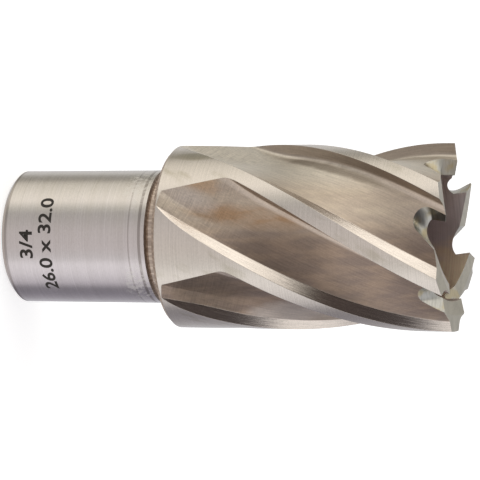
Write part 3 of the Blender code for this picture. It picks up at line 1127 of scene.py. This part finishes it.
# %% Floor paint
paint = bpy.data.materials.new("floor_paint")
paint.use_nodes = True
floor.data.materials.append(paint)
shader = paint.node_tree.nodes["Principled BSDF"]
shader.inputs["Base Color"].default_value = (0.8, 0.8, 0.8, 1)
shader.inputs["Roughness"].default_value = 0.9
tree = Tree(paint.node_tree)
camera_ray = tree.node("ShaderNodeLightPath", output="Is Camera Ray")
values = {"Color": (1, 1, 1, 1), "Strength": camera_ray * FLOOR_GLOW}
glow = tree.node("ShaderNodeEmission", None, values)
lit = Wire(tree, shader.outputs[0])
seen_above = tree.node("ShaderNodeAddShader", None, {0: lit, 1: glow})
clear = tree.node("ShaderNodeBsdfTransparent")
from_below = camera_ray * tree.node("ShaderNodeNewGeometry", output="Backfacing")
surface = tree.node("ShaderNodeMixShader", None, {0: from_below, 1: seen_above, 2: clear})
tree.links.new(surface.socket, paint.node_tree.nodes["Material Output"].inputs["Surface"])
print("Floor:", 2 * FLOOR_HALF_SIZE, "m square")

# %% [markdown]
# ## Camera
#
# The photograph shows the cutter lying down, and the part stands on its shank. So the camera is
# rolled by a quarter turn: its right is the cutter's up. It looks a little down on the teeth,
# which opens the bore to view. The lens is a focal length in pixels of a 480 pixel frame, which
# a 36 mm sensor turns into millimetres.

# %% Camera
TILT = math.radians(17)
ROLL = math.radians(0.195)
CAMERA_DISTANCE = 296 * MM
AIM_HEIGHT = 32.8 * MM
DOWN = 0.455 * MM
FRAME_PIXELS = 480
FOCAL_PIXELS = 2083
SENSOR_WIDTH = 36

right = Vector((0, math.sin(TILT), math.cos(TILT)))
up = Vector((-1, 0, 0))
back = Vector((0, -math.cos(TILT), math.sin(TILT)))
axes = Matrix((right, up, back)).transposed()
spin = Matrix.Rotation(math.radians(CAMERA_TURN), 3, "Z")
roll = Matrix.Rotation(ROLL, 3, "Z")
spot = Vector((0, 0, AIM_HEIGHT)) + back * CAMERA_DISTANCE - up * DOWN
camera = bpy.data.objects.new("camera", bpy.data.cameras.new("camera"))
camera.data.sensor_width = SENSOR_WIDTH
camera.data.lens = FOCAL_PIXELS / FRAME_PIXELS * SENSOR_WIDTH
camera.matrix_world = Matrix.Translation(spin @ spot) @ (spin @ axes @ roll).to_4x4()
bpy.context.scene.collection.objects.link(camera)
bpy.context.scene.camera = camera
bpy.context.scene.view_settings.view_transform = "Standard"
print("Lens:", round(camera.data.lens, 1), "mm")

# %% [markdown]
# ## Studio
#
# Polished steel shows its surroundings, so its light and dark bands are made by what stands
# round it. The world is two rings of soft panels and dark cards. One is at the cutter's own
# level and below, and the other above it, for what the floors and heels of the flutes reflect.
# Each ring is a colour ramp round the axis. Its places are degrees from the camera's side: above
# 0 they go towards the top of the picture, and below 0 towards the bottom. No panel is far over
# a strength of 1, so that a colour renders about as it is written. The camera sees plain white.

# %% Panels and cards
LOW_LIGHT = (
    (-180, (0.66, 0.66, 0.69)),
    (-158, (0.60, 0.60, 0.63)),
    (-142, (0.44, 0.43, 0.46)),
    (-128, (0.34, 0.33, 0.36)),
    (-118, (0.28, 0.27, 0.30)),
    (-102, (0.26, 0.25, 0.27)),
    (-90, (0.62, 0.60, 0.62)),
    (-70, (0.88, 0.86, 0.86)),
    (-50, (1.0, 0.98, 0.97)),
    (-38, (0.74, 0.72, 0.70)),
    (-20, (0.70, 0.66, 0.64)),
    (10, (0.66, 0.62, 0.61)),
    (40, (0.52, 0.50, 0.49)),
    (50, (0.68, 0.66, 0.61)),
    (64, (1.12, 1.06, 0.98)),
    (80, (1.02, 0.97, 0.88)),
    (104, (0.78, 0.74, 0.66)),
    (118, (0.38, 0.36, 0.32)),
    (130, (0.42, 0.41, 0.38)),
    (142, (0.68, 0.67, 0.65)),
    (160, (0.70, 0.69, 0.69)),
    (180, (0.66, 0.66, 0.69)),
)
HIGH_LIGHT = (
    (-180, (0.6, 0.6, 0.6)),
    (-120, (0.8, 0.8, 0.84)),
    (-95, (1.0, 1.0, 1.03)),
    (-72, (0.95, 0.95, 0.97)),
    (-60, (0.4, 0.4, 0.42)),
    (-52, (0.16, 0.15, 0.16)),
    (-44, (0.07, 0.062, 0.065)),
    (18, (0.065, 0.05, 0.047)),
    (30, (0.35, 0.34, 0.32)),
    (42, (0.9, 0.88, 0.86)),
    (54, (1.12, 1.1, 1.06)),
    (66, (1.3, 1.28, 1.24)),
    (116, (1.35, 1.32, 1.27)),
    (128, (1.1, 1.08, 1.04)),
    (142, (0.5, 0.48, 0.44)),
    (180, (0.6, 0.6, 0.6)),
)
LOWEST_LIGHT = (0.55, 0.5, 0.46, 1)
print("Studio:", len(LOW_LIGHT), "and", len(HIGH_LIGHT), "tones")


# %% The world
def ring_of_light(tree, share, tones):
    """One ring of tones round the axis, read at this share of a turn."""
    return tree.ramp(share, [((angle + 180) / 360, color) for angle, color in tones])


world = bpy.data.worlds.new("studio")
bpy.context.scene.world = world
world.use_nodes = True
world.node_tree.nodes.clear()
tree = Tree(world.node_tree)
direction = tree.node("ShaderNodeTexCoord", output="Generated")
x = tree.node("ShaderNodeSeparateXYZ", None, {0: direction})
around = x.out("Y").math("ARCTAN2", x)
rise = x.out("Z")
share = ((camera_side + math.pi - around) / (2 * math.pi)).math("FLOORED_MODULO", 1)
low_ring = ring_of_light(tree, share, LOW_LIGHT)
high_ring = ring_of_light(tree, share, HIGH_LIGHT)
light = tree.mix(rise.between(0.03, 0.26), low_ring, high_ring)
light = tree.mix((-rise).between(0.55, 0.85), light, LOWEST_LIGHT)
camera_ray = tree.node("ShaderNodeLightPath", output="Is Camera Ray")
color = tree.mix(camera_ray, light, (1, 1, 1, 1))
background = tree.node("ShaderNodeBackground", None, {"Color": color, "Strength": 1})
tree.node("ShaderNodeOutputWorld", None, {"Surface": background})
